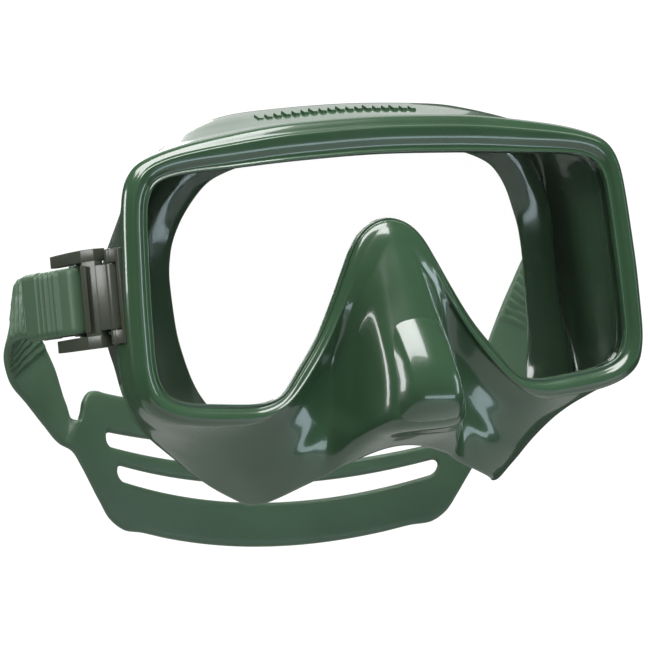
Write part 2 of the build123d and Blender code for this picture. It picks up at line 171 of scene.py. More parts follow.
GRIP_COUNT = 18            # plain raised bars along the brow
GRIP_START = -30.0
GRIP_PITCH = 3.0
GRIP_Y = -29.5
GRIP_Z = 48.9
GRIP_HALF = 0.9
GRIP_LONG = 3.4
GRIP_SHORT = 2.6
GRIP_FOOT = -0.5           # height of a bar's foot, sunk into the skirt
GRIP_DRAFT = 0.75          # width of a bar's top against its foot
GRIP_BOW = 1.6e-3          # how fast the brow falls away from the middle
GRIP_LEAN = 0.42           # how fast the brow rises towards the back

STRAP_SHEET = 2.2
STRAP_STEPS = 14           # mesh columns between two rows of the strap
BAR_ROWS = (9, 7, 11)      # mesh rows across the pad's three bars
BAND_RIBS = (0.8, 2.9, 5)  # start, pitch and number of the ribs outside
BAND_RIB_RISE = 0.9
BAND_TEETH = (14.0, 2.6, 9)                               # the same for the teeth inside
BAND_TOOTH_RISE = 0.7
BAND_LEAN = 2.5            # how far a rib runs along the strap from edge to edge
PAD_MIDDLE_Y = 41.5
PAD_END = (71.0, 29.5)
PAD_BEND_REACH = 78.0      # the pad's bend is worked out no further from the middle
PAD_TILT = 4.0
PAD_PIVOT_Z = -50.0
PAD_COLUMNS = (50, 40, 30, 20, 10, 0)
PAD_TOP_Z = -34
PAD_TOP_RISE = 5.1         # how much higher the upper edge is at PAD_TOP_REACH
PAD_TOP_REACH = 65
PAD_LOW_Z = -76.7
PAD_LOW_RISE = 6.2
PAD_LOW_REACH = 54
PAD_TAPER = 0.93           # a row's place along the lower edge against the upper

# The pad's two slots: upper edge and lower edge, each as z in the middle, z at the end and
# reach, then how far down the band the slot's line runs on, as a fraction.
PAD_SLOTS = [
    ((-46, -41, 60), (-52, -45.5, 58), 0.34),
    ((-57.6, -50.8, 56), (-63.2, -55.8, 54), 0.62),
]
SLOT_ROUND = 2.6           # radius of a slot's end
SLOT_LIMITS = (0.12, 0.88)  # a slot stays between these fractions of a row

# Rows of the -X half of the strap, from the buckle to the pad: upper or inner edge, lower
# or outer edge, and how much lower the same place lies on the +X side.
BAND = [
    ((-88.6, 5.2, 9.4), (-90.2, 5.2, -9.2), 0),
    ((-88.6, 13, 9.9), (-92, 12, -8.3), 0),
    ((-87, 21, 8.5), (-93.8, 17.5, -9.5), 1),
    ((-82.5, 26, 0), (-94, 21, -13), 2.5),
    ((-77.5, 30, -10), (-92.1, 23.5, -20), 4.5),
    ((-74, 32, -17), (-86.5, 25, -27), 6.5),
    ((-71.2, 32.5, -27.3), (-80.5, 27.5, -33.8), 8),
    ((-69.6, 31.3, -32.5), (-75.6, 29, -39.3), 9.2),
]

# The pad's end where the strap runs in: upper edge (x, z), lower edge (x, z), in the
# flat outline. The first row is the bottom of the notch beside the shoulder.
PAD_SHOULDER = [
    ((69.3, -37.6), (71.5, -47.3)), ((68.2, -35.2), (68.2, -51.5)),
    ((67.2, -31.6), (64.8, -56.8)), ((65.6, -29.5), (61.4, -62.3)),
    ((62.6, -28.9), (58.0, -67.2)), ((59.0, -29.6), (53.8, -70.2)),
]


# ---------------------------------------------------------------- curves

def step_up(value, start, width):
    """0 before start, 1 past start + width, smooth between."""
    t = np.clip((value - start) / width, 0, 1)
    return t * t * (3 - 2 * t)


def slopes(t, values):
    """Slopes at each knot that keep a cubic through the values free of overshoot."""
    steps = np.diff(t, axis=0)
    chords = np.diff(values, axis=0) / steps
    inside = np.zeros_like(values)
    a, b = chords[:-1], chords[1:]
    ha, hb = steps[:-1], steps[1:]
    wa, wb = 2 * hb + ha, hb + 2 * ha
    same = a * b > 0
    safe_a, safe_b = np.where(same, a, 1), np.where(same, b, 1)
    inside[1:-1] = np.where(same, (wa + wb) / (wa / safe_a + wb / safe_b), 0)
    inside[0], inside[-1] = chords[0], chords[-1]
    return inside


def hermite(p0, p1, m0, m1, width, s):
    """Points of one cubic span, s from 0 to 1."""
    return ((2 * s**3 - 3 * s**2 + 1) * p0 + (s**3 - 2 * s**2 + s) * width * m0
            + (-2 * s**3 + 3 * s**2) * p1 + (s**3 - s**2) * width * m1)


def through(points, per_span):
    """A smooth curve through points, (columns, n, 3), with chord-length spacing."""
    gaps = np.linalg.norm(np.diff(points, axis=1), axis=2, keepdims=True) + 1e-6
    chords = np.diff(points, axis=1) / gaps
    tangents = np.empty_like(points)
    before, after = gaps[:, :-1], gaps[:, 1:]
    mixed = (chords[:, :-1] * after + chords[:, 1:] * before) / (before + after)
    tangents[:, 1:-1] = mixed
    tangents[:, 0] = 1.5 * chords[:, 0] - 0.5 * tangents[:, 1]
    tangents[:, -1] = 1.5 * chords[:, -1] - 0.5 * tangents[:, -2]
    out = []
    for k in range(points.shape[1] - 1):
        for i in range(per_span):
            out.append(hermite(points[:, k], points[:, k + 1], tangents[:, k],
                               tangents[:, k + 1], gaps[:, k], i / per_span))
    out.append(points[:, -1])
    return np.stack(out, axis=1)


def rounded(points, samples):
    """A cubic B-spline from the first to the last control point, (columns, n, 3)."""
    padded = np.concatenate([points[:, :1], points[:, :1], points, points[:, -1:],
                             points[:, -1:]], axis=1)
    spans = padded.shape[1] - 3
    out = []
    for i in range(samples + 1):
        place = min(i / samples * spans, spans - 1e-9)
        k, s = int(place), place - int(place)
        weights = ((1 - s)**3, 3 * s**3 - 6 * s**2 + 4, -3 * s**3 + 3 * s**2 + 3 * s + 1,
                   s**3)
        out.append(sum(w * padded[:, k + j] for j, w in enumerate(weights)) / 6)
    return np.stack(out, axis=1)


def station_columns():
    """The stations' values at even steps round half the mask, and their numbers."""
    flat = np.array([[n for point in s for n in point] for s in STATIONS], float)
    flips = np.array([-1, 1] * 2 + [-1, 1, 1] * 6, float)
    flat = np.vstack([flat[1] * flips, flat, flat[-2] * flips])
    gaps = np.linalg.norm(np.diff(flat[:, :4], axis=0), axis=1)
    t = np.concatenate([[0], np.cumsum(gaps)])[:, None]
    rates = slopes(t, flat)
    values, numbers = [], []
    for k in range(1, len(flat) - 2):
        width = float(t[k + 1, 0] - t[k, 0])
        count = max(3, round(width / 2**0.5 / COLUMN_STEP))
        for i in range(count):
            s = i / count
            values.append(hermite(flat[k], flat[k + 1], rates[k], rates[k + 1], width, s))
            numbers.append(k - 1 + s)
    values.append(flat[-2])
    numbers.append(len(STATIONS) - 1)
    values = np.array(values)
    for _ in range(6):
        padded = np.vstack([values[1] * flips, values, values[-2] * flips])
        values = (padded[:-2] + 2 * padded[1:-1] + padded[2:]) / 4
    return values, np.array(numbers)


# ---------------------------------------------------------------- meshes

def mesh_piece(name, vertices, faces, material, smooth=True):
    """A mesh object from vertices in millimetres."""
    mesh = bpy.data.meshes.new(name)
    mesh.from_pydata((np.asarray(vertices, float) * MM).tolist(), [], faces)
    mesh.validate()
    piece = bpy.data.objects.new(name, mesh)
    bpy.context.scene.collection.objects.link(piece)
    mesh.materials.append(material)
    if smooth:
        mesh.shade_smooth()
    return piece


def weld(piece):
    """Join vertices that lie together and turn every face outward."""
    shape = bmesh.new()
    shape.from_mesh(piece.data)
    bmesh.ops.remove_doubles(shape, verts=shape.verts, dist=0.00002)
    bmesh.ops.recalc_face_normals(shape, faces=shape.faces)
    shape.to_mesh(piece.data)
    shape.free()


def grid_faces(columns, rows, close_columns=True, close_rows=True):
    """Quads of a grid whose vertex number is column * rows + row."""
    faces = []
    for i in range(columns if close_columns else columns - 1):
        j = (i + 1) % columns
        for r in range(rows if close_rows else rows - 1):
            s = (r + 1) % rows
            faces.append((i * rows + r, j * rows + r, j * rows + s, i * rows + s))
    return faces


# ---------------------------------------------------------------- materials

def new_material(name):
    material = bpy.data.materials.new(name)
    material.use_nodes = True
    nodes, links = material.node_tree.nodes, material.node_tree.links
    return material, nodes, links, nodes["Principled BSDF"]


def noise(nodes, links, place, scale, detail):
    """Cloudy noise at a place, as an output."""
    cloud = nodes.new("ShaderNodeTexNoise")
    cloud.inputs["Scale"].default_value = scale
    cloud.inputs["Detail"].default_value = detail
    links.new(place, cloud.inputs["Vector"])
    return cloud.outputs["Fac"]


def to_range(nodes, links, value, source, target):
    """A value brought from one range to another, as an output."""
    span = nodes.new("ShaderNodeMapRange")
    span.inputs["From Min"].default_value = source[0]
    span.inputs["From Max"].default_value = source[1]
    span.inputs["To Min"].default_value = target[0]
    span.inputs["To Max"].default_value = target[1]
    links.new(value, span.inputs["Value"])
    return span.outputs["Result"]


def moulded(name, colour, variation, roughness, spread, grain, bump, coat=0.0,
            scatter=0.0):
    """Moulded silicone or plastic: mottled colour, uneven gloss and a fine skin."""
    material, nodes, links, shader = new_material(name)
    place = nodes.new("ShaderNodeTexCoord").outputs["Object"]
    ramp = nodes.new("ShaderNodeValToRGB")
    for element, position, share in zip(ramp.color_ramp.elements, (0.3, 0.7),
                                        (1 - variation, 1 + variation)):
        element.position = position
        element.color = (*[c * share for c in colour], 1)
    cloud = noise(nodes, links, place, scale=38, detail=5)
    links.new(cloud, ramp.inputs["Fac"])
    links.new(ramp.outputs["Color"], shader.inputs["Base Color"])
    film = noise(nodes, links, place, scale=90, detail=4)
    gloss = to_range(nodes, links, film, source=(0.25, 0.75),
                     target=(roughness - spread, roughness + spread))
    links.new(gloss, shader.inputs["Roughness"])
    dents = nodes.new("ShaderNodeBump")
    dents.inputs["Strength"].default_value = bump
    dents.inputs["Distance"].default_value = 0.00006
    links.new(noise(nodes, links, place, scale=grain, detail=3), dents.inputs["Height"])
    links.new(dents.outputs["Normal"], shader.inputs["Normal"])
    shader.inputs["Specular IOR Level"].default_value = 0.5
    shader.inputs["Coat Weight"].default_value = coat
    shader.inputs["Coat Roughness"].default_value = 0.045
    if scatter:
        shader.inputs["Subsurface Weight"].default_value = scatter
        shader.inputs["Subsurface Radius"].default_value = (0.6, 1.0, 0.7)
        shader.inputs["Subsurface Scale"].default_value = 0.002
    return material


def clear_glass(name):
    """Clear tempered glass, with a trace of water marks in its gloss."""
    material, nodes, links, shader = new_material(name)
    place = nodes.new("ShaderNodeTexCoord").outputs["Object"]
    marks = noise(nodes, links, place, scale=60, detail=6)
    gloss = to_range(nodes, links, marks, source=(0.55, 0.8), target=(0.0, 0.03))
    links.new(gloss, shader.inputs["Roughness"])
    shader.inputs["Base Color"].default_value = (*WHITE, 1)
    shader.inputs["Transmission Weight"].default_value = 1.0
    shader.inputs["IOR"].default_value = 1.5
    return material


def brushed_steel(name):
    """Stainless wire: drawn lines along the pin."""
    material, nodes, links, shader = new_material(name)
    place = nodes.new("ShaderNodeTexCoord").outputs["Object"]
    stretch = nodes.new("ShaderNodeMapping")
    stretch.inputs["Scale"].default_value = (1, 1, 0.05)
    links.new(place, stretch.inputs["Vector"])
    lines = noise(nodes, links, stretch.outputs["Vector"], scale=3000, detail=2)
    gloss = to_range(nodes, links, lines, source=(0, 1), target=(0.18, 0.42))
    links.new(gloss, shader.inputs["Roughness"])
    shader.inputs["Base Color"].default_value = (0.55, 0.56, 0.55, 1)
    shader.inputs["Metallic"].default_value = 1.0
    return material


SKIRT = moulded("skirt_silicone", (0.046, 0.102, 0.052), 0.06, 0.22, 0.05, 1500, 0.08,
                coat=0.8, scatter=0.05)
STRAP = moulded("strap_silicone", (0.082, 0.150, 0.088), 0.07, 0.42, 0.06, 2200, 0.25)
PLASTIC = moulded("buckle_plastic", (0.070, 0.080, 0.060), 0.10, 0.30, 0.06, 1800, 0.15)
ROLLER = moulded("roller_plastic", (0.16, 0.20, 0.17), 0.05, 0.25, 0.05, 1500, 0.10)
PAWL = moulded("pawl_plastic", (0.05, 0.07, 0.05), 0.08, 0.32, 0.06, 1800, 0.15)
GLASS = clear_glass("lens_glass")
STEEL = brushed_steel("pin_steel")


# ---------------------------------------------------------------- skirt

def skirt_fields():
    """Named arrays of the skirt's cage, one row per column of the mesh."""
    values, numbers = station_columns()
    field = {"lip": values[:, 0:2], "rim": values[:, 2:4]}
    names = ("upper", "middle", "lower", "edge", "root", "hem")
    for k, name in enumerate(names):
        field[name] = values[:, 4 + 3 * k:7 + 3 * k]
    ends = np.vstack([field["lip"][1] * (-1, 1), field["lip"], field["lip"][-2] * (-1, 1)])
    along = ends[2:] - ends[:-2]
    along /= np.linalg.norm(along, axis=1, keepdims=True)
    field["out"] = np.stack([-along[:, 1], along[:, 0]], axis=1)
    field["notch"] = step_up(numbers, NOTCH_START, NOTCH_FULL - NOTCH_START)[:, None]
    field["apex"] = step_up(numbers, APEX_START, APEX_FULL - APEX_START)[:, None]
    return field


def at(field, distance, y):
    """Points a distance outward from the lens opening at depth y."""
    flat = field["lip"] + field["out"] * distance
    return np.stack([flat[:, 0], np.full(len(flat), float(y)), flat[:, 1]], axis=1)


def across(field, fraction, extra, y):
    """Points on the way from lens opening to rim edge: a fraction plus millimetres."""
    way = field["rim"] - field["lip"]
    size = np.linalg.norm(way, axis=1, keepdims=True)
    flat = field["lip"] + way * fraction + way / size * extra
    return np.stack([flat[:, 0], np.full(len(flat), float(y)), flat[:, 1]], axis=1)


def rim_front(field):
    """From the lens seat over the lip bead, the face and the ridge to the parting line."""
    seat = [at(field, 0, LENS_FRONT - SEAT_GAP), at(field, 0, -43.0)]
    bead = [across(field, *point) for point in RIM_BEAD]
    wide = [across(field, *point) for point in RIM_WIDE]
    thin = [across(field, *point) for point in RIM_THIN]
    last = len(RIM_THIN) - 1
    nose = [across(field, min(0.2 * k + 0.2, 1), 0.4 * max(k - 4, 0),
                   NOSE_BRIDGE_Y - NOSE_BRIDGE_FALL * math.sqrt(k / last))
            for k in range(last + 1)]
    side, top = field["notch"], field["apex"]
    body = [(a * (1 - side) + b * side) * (1 - top) + c * top
            for a, b, c in zip(wide, thin, nose)]
    controls = seat + bead + body
    return rounded(np.stack(controls, axis=1), 64)


def flanked(before, corner, after, share):
    """Two points beside a corner, a share of the way to its neighbours."""
    return corner + (before - corner) * share, corner + (after - corner) * share


def outer_wall(field, start):
    """The skirt's outside, from the parting line to the sealing edge."""
    share = 0.3 - 0.12 * field["notch"]
    first, second = flanked(field["upper"], field["middle"], field["lower"], share)
    third, fourth = flanked(field["middle"], field["lower"], field["edge"], share)
    points = [start, field["upper"], first, second, third, fourth, field["edge"]]
    return through(np.stack(points, axis=1), 6)


def mirrored_difference(points):
    """The step round the mask at each column, with the mirror image past both ends."""
    flip = np.array([-1, 1, 1])
    ends = np.concatenate([points[1:2] * flip, points, points[-2:-1] * flip])
    return ends[2:] - ends[:-2]


def inset(here, before, after, thick):
    """Wall points moved into the mask by the wall's thickness."""
    inward = np.cross(after - before, mirrored_difference(here))
    inward /= np.linalg.norm(inward, axis=1, keepdims=True)
    return here + inward * thick


def skirt_section_points(field):
    """All closed sections of half the skirt, (columns, rows, 3)."""
    front = rim_front(field)
    outer = outer_wall(field, front[:, -1])
    edge, root, hem = field["edge"], field["root"], field["hem"]
    wall = WALL + (NOSE_WALL - WALL) * field["notch"]
    inner_edge = inset(edge, field["lower"], edge * 2 - field["lower"], EDGE_WALL)
    away = edge - field["lower"]
    away /= np.linalg.norm(away, axis=1, keepdims=True)
    tip = (edge + inner_edge) / 2 + away * EDGE_WALL * 0.45
    bead = through(np.stack([edge, tip, inner_edge], axis=1), 4)
    reach = hem - root
    reach /= np.linalg.norm(reach, axis=1, keepdims=True)
    turn_a, turn_b = flanked(inner_edge, root, hem, 0.25)
    seal = through(np.stack([inner_edge, turn_a, turn_b, hem], axis=1), 6)
    hem_front = hem + (0, -EDGE_WALL, 0)
    hem_tip = (hem + hem_front) / 2 + reach * EDGE_WALL * 0.5
    hem_bead = through(np.stack([hem, hem_tip, hem_front], axis=1), 4)
    root_front = root + (0, -WALL, 0) + reach * 0.8
    lower = inset(field["lower"], field["middle"], field["edge"], wall)
    middle = inset(field["middle"], field["upper"], field["lower"], wall)
    pocket = at(field, LENS_BITE + POCKET_ROOM + NOTCH_BITE * field["notch"],
                LENS_BACK + POCKET_ROOM)
    inside = through(np.stack([hem_front, root_front, lower, middle, pocket], axis=1), 7)
    low = NOTCH_LIP * field["notch"]
    bite = LENS_BITE + NOTCH_BITE * field["notch"]
    seat = [at(field, low + 0.6, LENS_BACK + 1.2), at(field, low + 0.1, LENS_BACK + 0.9),
            at(field, low, LENS_BACK + SEAT_GAP), at(field, bite, LENS_BACK + SEAT_GAP),
            at(field, bite, LENS_FRONT - SEAT_GAP)]
    runs = [front, outer[:, 1:], bead[:, 1:], seal[:, 1:], hem_bead[:, 1:], inside[:, 1:],
            np.stack(seat, axis=1)]
    return np.concatenate(runs, axis=1)


def whole_round(half):
    """Columns of the right half followed by their mirror image, back to the start."""
    half[0, :, 0] = 0
    half[-1, :, 0] = 0
    return np.concatenate([half, half[-2:0:-1] * (-1, 1, 1)])


def make_skirt(field):
    """The green moulding as one closed skin."""
    columns = whole_round(skirt_section_points(field))
    faces = grid_faces(columns.shape[0], columns.shape[1])
    piece = mesh_piece("skirt_moulding", columns.reshape(-1, 3), faces, SKIRT)
    weld(piece)
    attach(piece, "mask")
    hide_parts("skirt")
    return piece


# ---------------------------------------------------------------- lens

def make_lens(field):
    """Flat glass with a ground bevel all round, held in the seat."""
    depth = LENS_BITE - LENS_ROOM + NOTCH_BITE * field["notch"]
    rings = [at(field, depth - LENS_BEVEL, LENS_FRONT),
             at(field, depth, LENS_FRONT + LENS_BEVEL),
             at(field, depth, LENS_BACK - LENS_BEVEL),
             at(field, depth - LENS_BEVEL, LENS_BACK)]
    columns = whole_round(np.stack(rings, axis=1))
    count = len(columns)
    faces = grid_faces(count, 4, close_rows=False)
    faces.append([4 * i for i in range(count)])
    faces.append([4 * i + 3 for i in reversed(range(count))])
    piece = mesh_piece("lens_plate", columns.reshape(-1, 3), faces, GLASS, smooth=False)
    weld(piece)
    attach(piece, "mask")
    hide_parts("lens")
    return piece


# ---------------------------------------------------------------- strap and back pad

def lift(x, z, side):
    """Points of the flat pad outline, bent round the head and tilted."""
    reach, depth = PAD_END[0], PAD_MIDDLE_Y - PAD_END[1]
    radius = (reach**2 + depth**2) / (2 * depth)
    y = PAD_MIDDLE_Y - radius + np.sqrt(radius**2 - x**2)
    tilt = math.radians(PAD_TILT)
    x, drop = x * side, z - PAD_PIVOT_Z
    return np.stack([x * math.cos(tilt) + drop * math.sin(tilt), y,
                     PAD_PIVOT_Z + drop * math.cos(tilt) - x * math.sin(tilt)], axis=-1)


def flatten(points, side):
    """The inverse of lift: places in the flat pad outline."""
    tilt = math.radians(PAD_TILT)
    x, drop = points[..., 0], points[..., 2] - PAD_PIVOT_Z
    return (side * (x * math.cos(tilt) - drop * math.sin(tilt)),
            PAD_PIVOT_Z + x * math.sin(tilt) + drop * math.cos(tilt))


def strap_edges(side):
    """Upper and lower edge of one half of the strap, and how much each row is pad."""
    upper, lower, share = [], [], []
    for high, low, droop in BAND:
        drop = droop if side > 0 else 0
        upper.append((-side * high[0], high[1], high[2] - drop))
        lower.append((-side * low[0], low[1], low[2] - drop))
        share.append(0.0)
    middle = [((x, PAD_TOP_Z + PAD_TOP_RISE * (x / PAD_TOP_REACH)**2),
               (x * PAD_TAPER, PAD_LOW_Z + PAD_LOW_RISE * (x / PAD_LOW_REACH)**2))
              for x in PAD_COLUMNS]
    for high, low in PAD_SHOULDER + middle:
        upper.append(tuple(lift(*map(np.float64, high), side)))
        lower.append(tuple(lift(*map(np.float64, low), side)))
        share.append(1.0)
    ends = np.array([upper, lower])
    fine = through(ends, STRAP_STEPS)
    amount = np.interp(np.arange(fine.shape[1]) / STRAP_STEPS, np.arange(len(share)), share)
    return fine[0], fine[1], amount


def slot_edge(upper, lower, amount, side, middle, end, reach, fallback):
    """How far down each row one edge of a slot lies, as a fraction of the row."""
    high, low = flatten(upper, side), flatten(lower, side)
    down = np.full(len(upper), fallback)
    for _ in range(12):
        x = high[0] + down * (low[0] - high[0])
        z = middle + (end - middle) * (np.minimum(np.abs(x), reach + 3) / reach)**2
        wanted = (z - high[1]) / (low[1] - high[1])
        down = np.clip(wanted, *SLOT_LIMITS) * amount + fallback * (1 - amount)
    return down, np.abs(high[0] + down * (low[0] - high[0]))


def slot_pair(upper, lower, amount, side, top, bottom, fallback):
    """Both edges of a slot with round ends, as fractions of each row, and its gap."""
    first, x = slot_edge(upper, lower, amount, side, *top, fallback)
    second, _ = slot_edge(upper, lower, amount, side, *bottom, fallback)
    middle, half = (first + second) / 2, (second - first) / 2
    beyond = np.clip((x - (top[2] - SLOT_ROUND)) / SLOT_ROUND, 0, 1)
    opened = np.sqrt(np.maximum(1 - beyond**2, 0)) * (amount >= 1)
    half = np.maximum(half, 0) * opened
    return middle - half, middle + half, half > 0


def bar_rows(count):
    """Fractions across one bar, closer together at both edges."""
    t = np.linspace(0, 1, count)
    return 0.5 - 0.5 * np.cos(math.pi * t)


def ribs_along(distance, starts, pitch, count):
    """Height from 0 to 1 of a row of flat-topped ribs along the strap."""
    phase = (distance - starts) / pitch
    inside = (phase > 0) & (phase < count)
    wave = np.abs((phase % 1) - 0.5) * 2
    return np.clip((0.72 - wave) / 0.22, 0, 1) * inside


def bar_thickness(flat, opened):
    """Half the sheet's thickness at each place, rounded off towards every free edge."""
    half = STRAP_SHEET / 2
    thick = np.empty(flat.shape[:2])
    first = 0
    for k, count in enumerate(BAR_ROWS):
        here = flat[:, first:first + count]
        from_top = np.linalg.norm(here - here[:, :1], axis=2)
        from_low = np.linalg.norm(here - here[:, -1:], axis=2)
        near = np.minimum(np.where(opened[k][:, None], from_top, half),
                          np.where(opened[k + 1][:, None], from_low, half))
        near = np.clip(near / half, 0, 1)
        thick[:, first:first + count] = half * np.sqrt(1 - (1 - near)**2)
        first += count
    return thick


def bar_faces(columns, opened):
    """Both sides of every bar, the free edges along it and the end at the buckle."""
    rows = sum(BAR_ROWS)
    faces, first = [], 0
    for k, count in enumerate(BAR_ROWS):
        last = first + count - 1
        for i in range(columns - 1):
            a, b = i * 2 * rows, (i + 1) * 2 * rows
            for r in range(first, last):
                faces.append((a + r, b + r, b + r + 1, a + r + 1))
                faces.append((a + rows + r + 1, b + rows + r + 1, b + rows + r, a + rows + r))
            if opened[k][i] or opened[k][i + 1]:
                faces.append((a + first, a + rows + first, b + rows + first, b + first))
            if opened[k + 1][i] or opened[k + 1][i + 1]:
                faces.append((b + last, b + rows + last, a + rows + last, a + last))
        first += count
    faces.append([r for r in range(rows)] + [rows + r for r in reversed(range(rows))])
    return faces


def make_strap_half(name, side):
    """One side of the strap with its half of the slotted back pad."""
    upper, lower, amount = strap_edges(side)
    slots = [slot_pair(upper, lower, amount, side, *slot) for slot in PAD_SLOTS]
    zero, one = np.zeros(len(upper)), np.ones(len(upper))
    edges = [(zero, slots[0][0]), (slots[0][1], slots[1][0]), (slots[1][1], one)]
    opened = [one > 0, slots[0][2], slots[1][2], one > 0]
    down = np.concatenate([a[:, None] + (b - a)[:, None] * bar_rows(n)
                           for (a, b), n in zip(edges, BAR_ROWS)], axis=1)[:, :, None]
    flat = upper[:, None] * (1 - down) + lower[:, None] * down
    x, z = flatten(flat, side)
    bent = lift(np.minimum(np.abs(x), PAD_BEND_REACH), z, side)
    s = step_up(amount, 0, 1)[:, None]
    flat[:, :, 1] = flat[:, :, 1] * (1 - s) + bent[:, :, 1] * s
    along = np.gradient(flat, axis=0)
    normal = np.cross(along, np.broadcast_to((lower - upper)[:, None], along.shape)) * -side
    normal /= np.linalg.norm(normal, axis=2, keepdims=True)
    lengths = np.linalg.norm(np.diff(flat[:, 3], axis=0), axis=1)
    distance = np.concatenate([[0], np.cumsum(lengths)])[:, None]
    down = down[:, :, 0]
    lean = distance + (down - 0.5) * BAND_LEAN
    edge_room = np.clip(np.minimum(down, 1 - down) / 0.05 - 0.4, 0, 1)
    ribs = BAND_RIB_RISE * ribs_along(lean, *BAND_RIBS) * edge_room
    teeth = BAND_TOOTH_RISE * ribs_along(lean, *BAND_TEETH) * edge_room
    thick = bar_thickness(flat, opened)
    outside = flat + normal * (thick + ribs)[:, :, None]
    inside = flat - normal * (thick + teeth)[:, :, None]
    points = np.concatenate([outside, inside], axis=1)
    faces = bar_faces(len(upper), opened)
    piece = mesh_piece(name, points.reshape(-1, 3), faces, STRAP)
    weld(piece)
    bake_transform(piece)
    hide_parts("strap_band")
    return piece


def make_strap_tail(name, word, side):
    """The strap in the buckle: past the pawl, round the roller, back to the end tile."""
    x, y = ROLLER_AXIS
    turn = ROLLER_R + WRAP_GAP + TAIL_SHEET / 2
    angles = [math.pi * k / WRAP_KNOTS for k in range(WRAP_KNOTS + 1)]
    wrap = [(x - turn * math.cos(a), y - turn * math.sin(a)) for a in angles]
    knots = [(side * a, b, 0) for a, b in TAIL_LEAD + wrap + TAIL_RETURN]
    line = through(np.array([knots], float), TAIL_STEPS)[0]
    along = np.gradient(line, axis=0)
    along /= np.linalg.norm(along, axis=1, keepdims=True)
    outward = np.stack([along[:, 1], -along[:, 0], along[:, 2]], axis=1) * side
    turn_end = len(TAIL_LEAD) + WRAP_KNOTS
    after_turn = np.arange(len(line)) > TAIL_STEPS * turn_end
    ribs = RIB_RISE * ribs_along(line[:, 1], *TAIL_RIBS)
    tile = TILE_RISE * (step_up(line[:, 1], TILE_START, TILE_EDGE)
                        * (1 - step_up(line[:, 1], TILE_END, TILE_EDGE)))
    raised = ((ribs + tile) * after_turn)[:, None]
    down = bar_rows(TAIL_ROWS)[None, :]
    half, width = TAIL_SHEET / 2, STRAP_HALF + TILE_WIDER * (tile > 0)[:, None]
    near = np.clip(np.minimum(down, 1 - down) * 2 * STRAP_HALF / half, 0, 1)
    thick = half * np.sqrt(1 - (1 - near)**2) * np.ones_like(raised)
    flat = np.repeat(line[:, None], down.shape[1], axis=1)
    flat[:, :, 2] = width * (1 - 2 * down)
    top = raised * np.clip(near * 1.4, 0, 1)
    outside = flat + outward[:, None] * (thick + top)[:, :, None]
    inside = flat - outward[:, None] * thick[:, :, None]
    points = np.concatenate([outside, inside[:, ::-1]], axis=1)
    rows, columns = points.shape[1], len(line)
    faces = grid_faces(columns, rows, close_columns=False)
    faces.append(list(range(rows)))
    faces.append([(columns - 1) * rows + r for r in reversed(range(rows))])
    piece = mesh_piece(name, points.reshape(-1, 3), faces, STRAP)
    weld(piece)
    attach(piece, f"buckle_{word}")
    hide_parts(f"strap_end_{word}")
    return piece


# ---------------------------------------------------------------- buckle

def ring_outline(centre, radius, count=28):
    """Points of a circle in plan."""
    angles = [2 * math.pi * k / count for k in range(count)]
    return [(centre[0] + radius * math.cos(a), centre[1] + radius * math.sin(a))
            for a in angles]


def prisms(name, outlines, side, material, bevel):
    """Upright prisms over plan outlines (points, low, high) with rounded-over edges."""
    shape = bmesh.new()
    for points, low, high in outlines:
        floor = [shape.verts.new((side * x * MM, y * MM, low * MM)) for x, y in points]
        roof = [shape.verts.new((side * x * MM, y * MM, high * MM)) for x, y in points]
        shape.faces.new(floor)
        shape.faces.new(roof)
        for k in range(len(points)):
            j = (k + 1) % len(points)
            shape.faces.new((floor[k], floor[j], roof[j], roof[k]))
    bmesh.ops.recalc_face_normals(shape, faces=shape.faces)
    sharp = [e for e in shape.edges if e.calc_face_angle(0) > math.radians(BEVEL_FROM)]
    bmesh.ops.bevel(shape, geom=sharp, offset=bevel * MM, segments=3, profile=0.5,
                    affect="EDGES", clamp_overlap=True)
    mesh = bpy.data.meshes.new(name)
    shape.to_mesh(mesh)
    shape.free()
    piece = bpy.data.objects.new(name, mesh)
    bpy.context.scene.collection.objects.link(piece)
    mesh.materials.append(material)
    mesh.shade_smooth()
    mesh.set_sharp_from_angle(angle=math.radians(SHARP_FROM))
    return piece


def make_buckle_frame(name, word, side):
    """Knuckle, waisted plate and two arms with three flat facets and rounded ends."""
    x, y = HINGE
    plate = [(87.0, -32.9), (88.9, -32.9), (90.8, -28.4), (90.8, -27.5), (88.4, -27.5),
             (88.4, -30.8)]
    arm = [(85.6, -33.0), (89.0, -33.0), (91.0, -28.5), (91.2, -22.0), (90.6, -13.5),
           (89.5, -5.3), (88.9, -4.5), (87.5, -4.5), (86.9, -5.3), (84.6, -27.0),
           (84.9, -31.0)]
    neck = [(x - 0.2, y), (x + KNUCKLE_R, y), (89.0, -33.0), (87.0, -33.0)]
    facet = [(90.9, -31.0), (91.25, -29.0), (91.25, -28.0), (90.9, -27.7)]
    outlines = [(ring_outline(HINGE, KNUCKLE_R), -KNUCKLE_HALF, KNUCKLE_HALF),
                (neck, -KNUCKLE_HALF, KNUCKLE_HALF),
                (plate, -ARM_INNER - PLATE_OVERLAP, ARM_INNER + PLATE_OVERLAP),
                (arm, ARM_INNER, ARM_OUTER), (arm, -ARM_OUTER, -ARM_INNER),
                (facet, -ARM_INNER + FACET_INSET, ARM_INNER - FACET_INSET)]
    piece = prisms(name, outlines, side, PLASTIC, BUCKLE_BEVEL)
    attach(piece, f"buckle_{word}")
    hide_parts(f"buckle_frame_{word}")
    return piece


